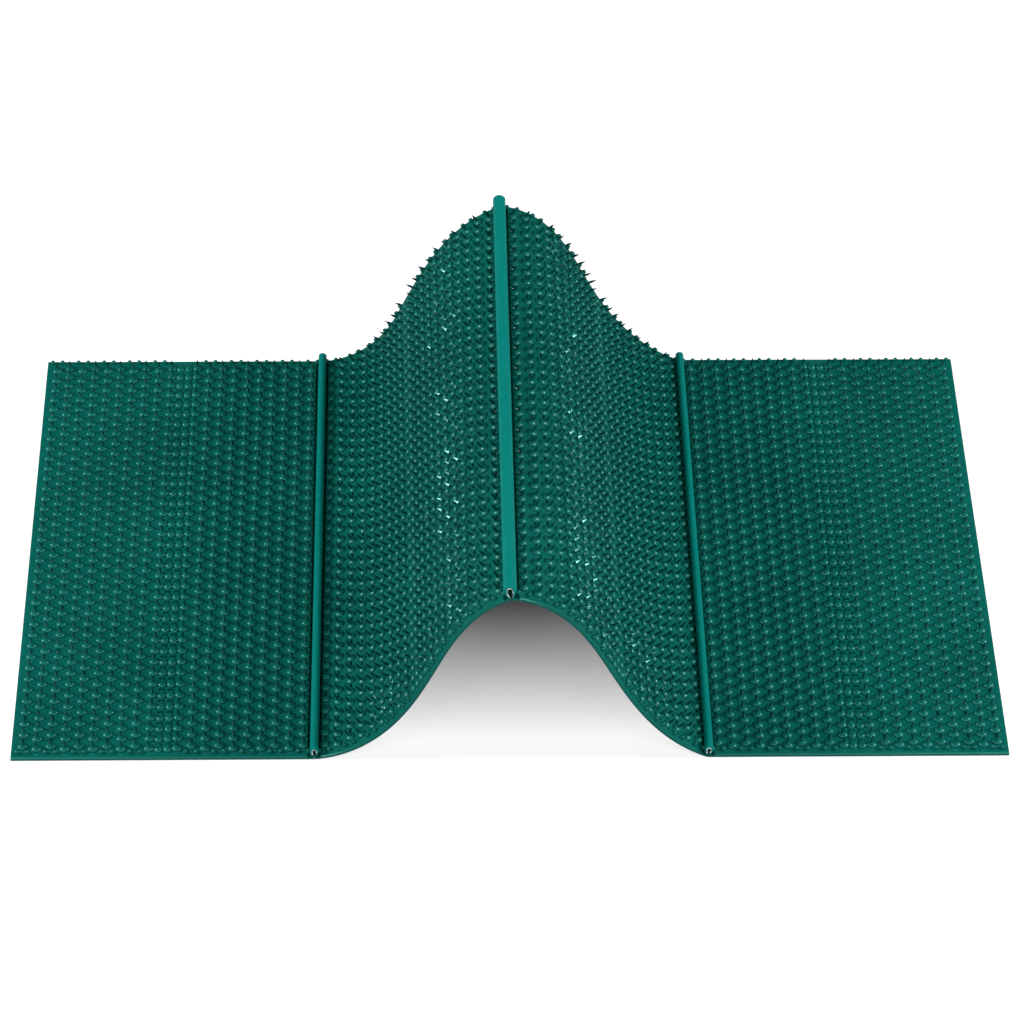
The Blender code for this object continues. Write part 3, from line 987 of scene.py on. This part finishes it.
def cut_plastic():
    """Rim of a sawn end: the teal turned white where the blade has torn it."""
    material, tree, shader = new_plastic("cut_plastic")
    place = add_node(tree, "ShaderNodeTexCoord").outputs["Object"]
    torn = add_node(tree, "ShaderNodeTexNoise", Vector=place, Scale=420.0, Detail=4.0)
    two_toned(tree, shader, torn.outputs[0], CUT_TEALS)
    shader.inputs["Roughness"].default_value = CUT_ROUGHNESS
    grained(tree, shader, torn.outputs[0], 0.5)
    return material


PROFILE_PLASTIC = profile_plastic()
CUT_PLASTIC = cut_plastic()
RIM_WIDTH = 0.0007
RIM_PROUD = 0.00012
RIM_DEPTH = 0.0004


def split_profile(joint, name, sizes):
    """The split tube over a joint's beads, with the whitened rims of its two cut ends."""
    half = 0.5 * MAT_WIDTH
    sections = []
    for inset, shrink, pinch in END_SECTIONS:
        sections.append((inset - half, *profile_paths(**sizes, shrink=shrink, pinch=pinch)))
    sections += [(-y, out_path, in_path) for y, out_path, in_path in reversed(sections)]
    tube = joint.drawn(name + "_tube", sections, PROFILE_PLASTIC)
    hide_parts(name)
    _, edge = profile_paths(**sizes, shrink=0.0, pinch=1.0)
    middle = Vector((0.0, sizes["centre"]))
    wider = []
    for spot in edge:
        if spot[1] > sizes["centre"]:
            out = (Vector(spot) - middle).normalized()
        else:
            out = Vector((math.copysign(1.0, spot[0]), 0.0))
        wider.append(tuple(Vector(spot) + out * RIM_WIDTH))
    for end, side in (("front", -1.0), ("back", 1.0)):
        ys = (side * (half + RIM_PROUD), side * (half - RIM_DEPTH))
        rim = joint.drawn(f"{name}_{end}_cut_rim", [(y, wider, edge) for y in ys], CUT_PLASTIC)


left_joint = JointLine("left_joint", LEFT_JOINT_X, 0.0, 0.0)
split_profile(left_joint, "left_joint_profile", SIDE_TUBE)
left_joint.web("left_end_panel_web", -1, "left_end_panel_bead_edge")
left_joint.web("left_slope_panel_foot_web", 1, "left_slope_panel_foot_bead_edge")

# The left sloping panel is the same moulding, bent by hand into the left side of the
# hump: flat at its foot, steepest past its middle, easing off towards the ridge. Its
# rear edge is bent a little otherwise than its front edge.

LEFT_FRONT_EDGE = {"foot": 4.6, "steepest": 65.8, "steepest_at": 0.61, "ridge": 22.7}
LEFT_REAR_EDGE = {
    "foot": 4.6,
    "steepest": 66.1942,
    "steepest_at": 0.3861,
    "ridge": 22.7,
    "rise": 1.284,
    "ease": 2.33,
}


def sloped(start_x, side, foot, steepest, steepest_at, ridge, rise=2.0, ease=2.0):
    """Points of a bent panel's underside from its foot to the ridge, by slopes in degrees."""
    step = PANEL_LENGTH / LINE_STEPS
    place = Vector((start_x, 0.0, 0.0))
    points = [place.copy()]
    for k in range(LINE_STEPS):
        share = (k + 0.5) / LINE_STEPS
        if share < steepest_at:
            low, far = foot, (1.0 - share / steepest_at) ** rise
        else:
            low, far = ridge, ((share - steepest_at) / (1.0 - steepest_at)) ** ease
        slope = math.radians(low + (steepest - low) * (1.0 - far))
        place += step * Vector((side * math.cos(slope), 0.0, math.sin(slope)))
        points.append(place.copy())
    return points


left_bodies = [body for body in frame["bodies"] if body.startswith("left_slope_")]
left_slope = Panel(
    "left_slope_panel",
    sloped(LEFT_JOINT_X, 1.0, **LEFT_FRONT_EDGE),
    ["left_joint", *sorted(left_bodies), "ridge_joint"],
    sloped(LEFT_JOINT_X, 1.0, **LEFT_REAR_EDGE),
)
left_slope.mould_bends(FREE_HALF_GAP, PANEL_LENGTH - FREE_HALF_GAP)

# The ridge profile is a wider split tube, in which the two beads have room to swing.
# It stands on the hump's crest and leans a little to the left.

RIDGE_X = -0.001423
RIDGE_HEIGHT = 0.160148
RIDGE_LEAN = -8.5
RIDGE_TUBE = {
    "inner": 0.0031,
    "outer": 0.0050,
    "centre": BEAD_TOP + 0.0002,
    "foot": 0.0032,
    "mouth": 0.0017,
}

ridge_joint = JointLine("ridge_joint", RIDGE_X, RIDGE_HEIGHT, RIDGE_LEAN)
split_profile(ridge_joint, "ridge_joint_profile", RIDGE_TUBE)
ridge_joint.web("left_slope_panel_ridge_web", -1, "left_slope_panel_ridge_bead_edge")
ridge_joint.web("right_slope_panel_ridge_web", 1, "right_slope_panel_ridge_bead_edge")

# The right sloping panel is the same moulding again, bent into the right side of the
# hump: it starts nearly level at the ridge and still slopes where it meets the floor.

RIGHT_JOINT_X = 0.145927
RIGHT_FRONT_EDGE = {"foot": 23.7, "steepest": 63.1538, "steepest_at": 0.54, "ridge": 5.7}
RIGHT_REAR_EDGE = {
    "foot": 23.7,
    "steepest": 64.3621,
    "steepest_at": 0.5710,
    "ridge": 5.7,
    "rise": 1.6,
    "ease": 2.08,
}

right_bodies = [body for body in frame["bodies"] if body.startswith("right_slope_")]
right_slope = Panel(
    "right_slope_panel",
    sloped(RIGHT_JOINT_X, -1.0, **RIGHT_FRONT_EDGE)[::-1],
    ["ridge_joint", *sorted(right_bodies, reverse=True), "right_joint"],
    sloped(RIGHT_JOINT_X, -1.0, **RIGHT_REAR_EDGE)[::-1],
)
right_slope.mould_bends(FREE_HALF_GAP, PANEL_LENGTH - FREE_HALF_GAP)

# The right joint profile is a tube of the same teal plastic as the left one, slid over
# the beads of the right sloping panel and the right end panel. It leans to the right.

RIGHT_LEAN = 8.0

right_joint = JointLine("right_joint", RIGHT_JOINT_X, 0.0, RIGHT_LEAN)
split_profile(right_joint, "right_joint_profile", SIDE_TUBE)
right_joint.web("right_slope_panel_foot_web", -1, "right_slope_panel_foot_bead_edge")
right_joint.web("right_end_panel_web", 1, "right_end_panel_bead_edge")

# The right end panel is the same moulding as the left one. It lies flat on the floor,
# its left edge in the right joint profile; beside the joint, over the hinges, it is moulded in
# pieces of its own.

right_end = Panel(
    "right_end_panel", straight(RIGHT_JOINT_X), ["right_joint", "right_end_strip", "right_end"]
)
field_start = nearest_gap(right_end.hinges[-1] + END_BEND_ROOM)
right_end.mould_bends(FREE_HALF_GAP, field_start)
right_end.mould("right_end", field_start, PANEL_LENGTH)

# The panels' lines have done their work and go.

for panel in (left_end, left_slope, right_slope, right_end):
    for line in panel.lines:
        bpy.data.objects.remove(line)
